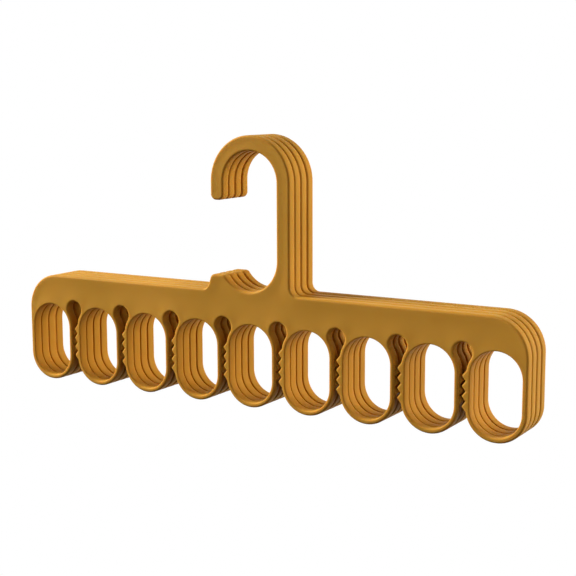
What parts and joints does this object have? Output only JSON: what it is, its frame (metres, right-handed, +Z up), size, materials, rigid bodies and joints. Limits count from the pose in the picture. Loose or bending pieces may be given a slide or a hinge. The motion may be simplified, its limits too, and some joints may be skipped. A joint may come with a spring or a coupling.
{
  "type": "scarf hanger",
  "caption": "Set of flat one-piece moulded scarf hangers stacked on one rod, each with an open hook, a bar, a row of oblong loops and toothed keyhole clips between the loops.",
  "frame": {"origin": "centre of the rod seat in the hooks, half-way through the stack's depth", "axes": "+X along the bar to the right, -Y to the front, +Z up"},
  "size_m": [0.3106, 0.0252, 0.1456],
  "materials": {
    "hanger_plastic": "satin moulded polypropylene, caramel"
  },
  "bodies": {
    "back_hanger": {"back_hanger": "hanger_plastic"},
    "third_hanger": {"third_hanger": "hanger_plastic"},
    "second_hanger": {"second_hanger": "hanger_plastic"},
    "front_hanger": {"front_hanger": "hanger_plastic"}
  },
  "joints": [
    {"name": "front_hanger_slide", "type": "slide", "parent": "second_hanger", "child": "front_hanger", "axis": [0, -1, 0], "range_m": [0, 0.08]},
    {"name": "second_hanger_slide", "type": "slide", "parent": "third_hanger", "child": "second_hanger", "axis": [0, -1, 0], "range_m": [0, 0.08]},
    {"name": "third_hanger_slide", "type": "slide", "parent": "back_hanger", "child": "third_hanger", "axis": [0, -1, 0], "range_m": [0, 0.08]}
  ]
}
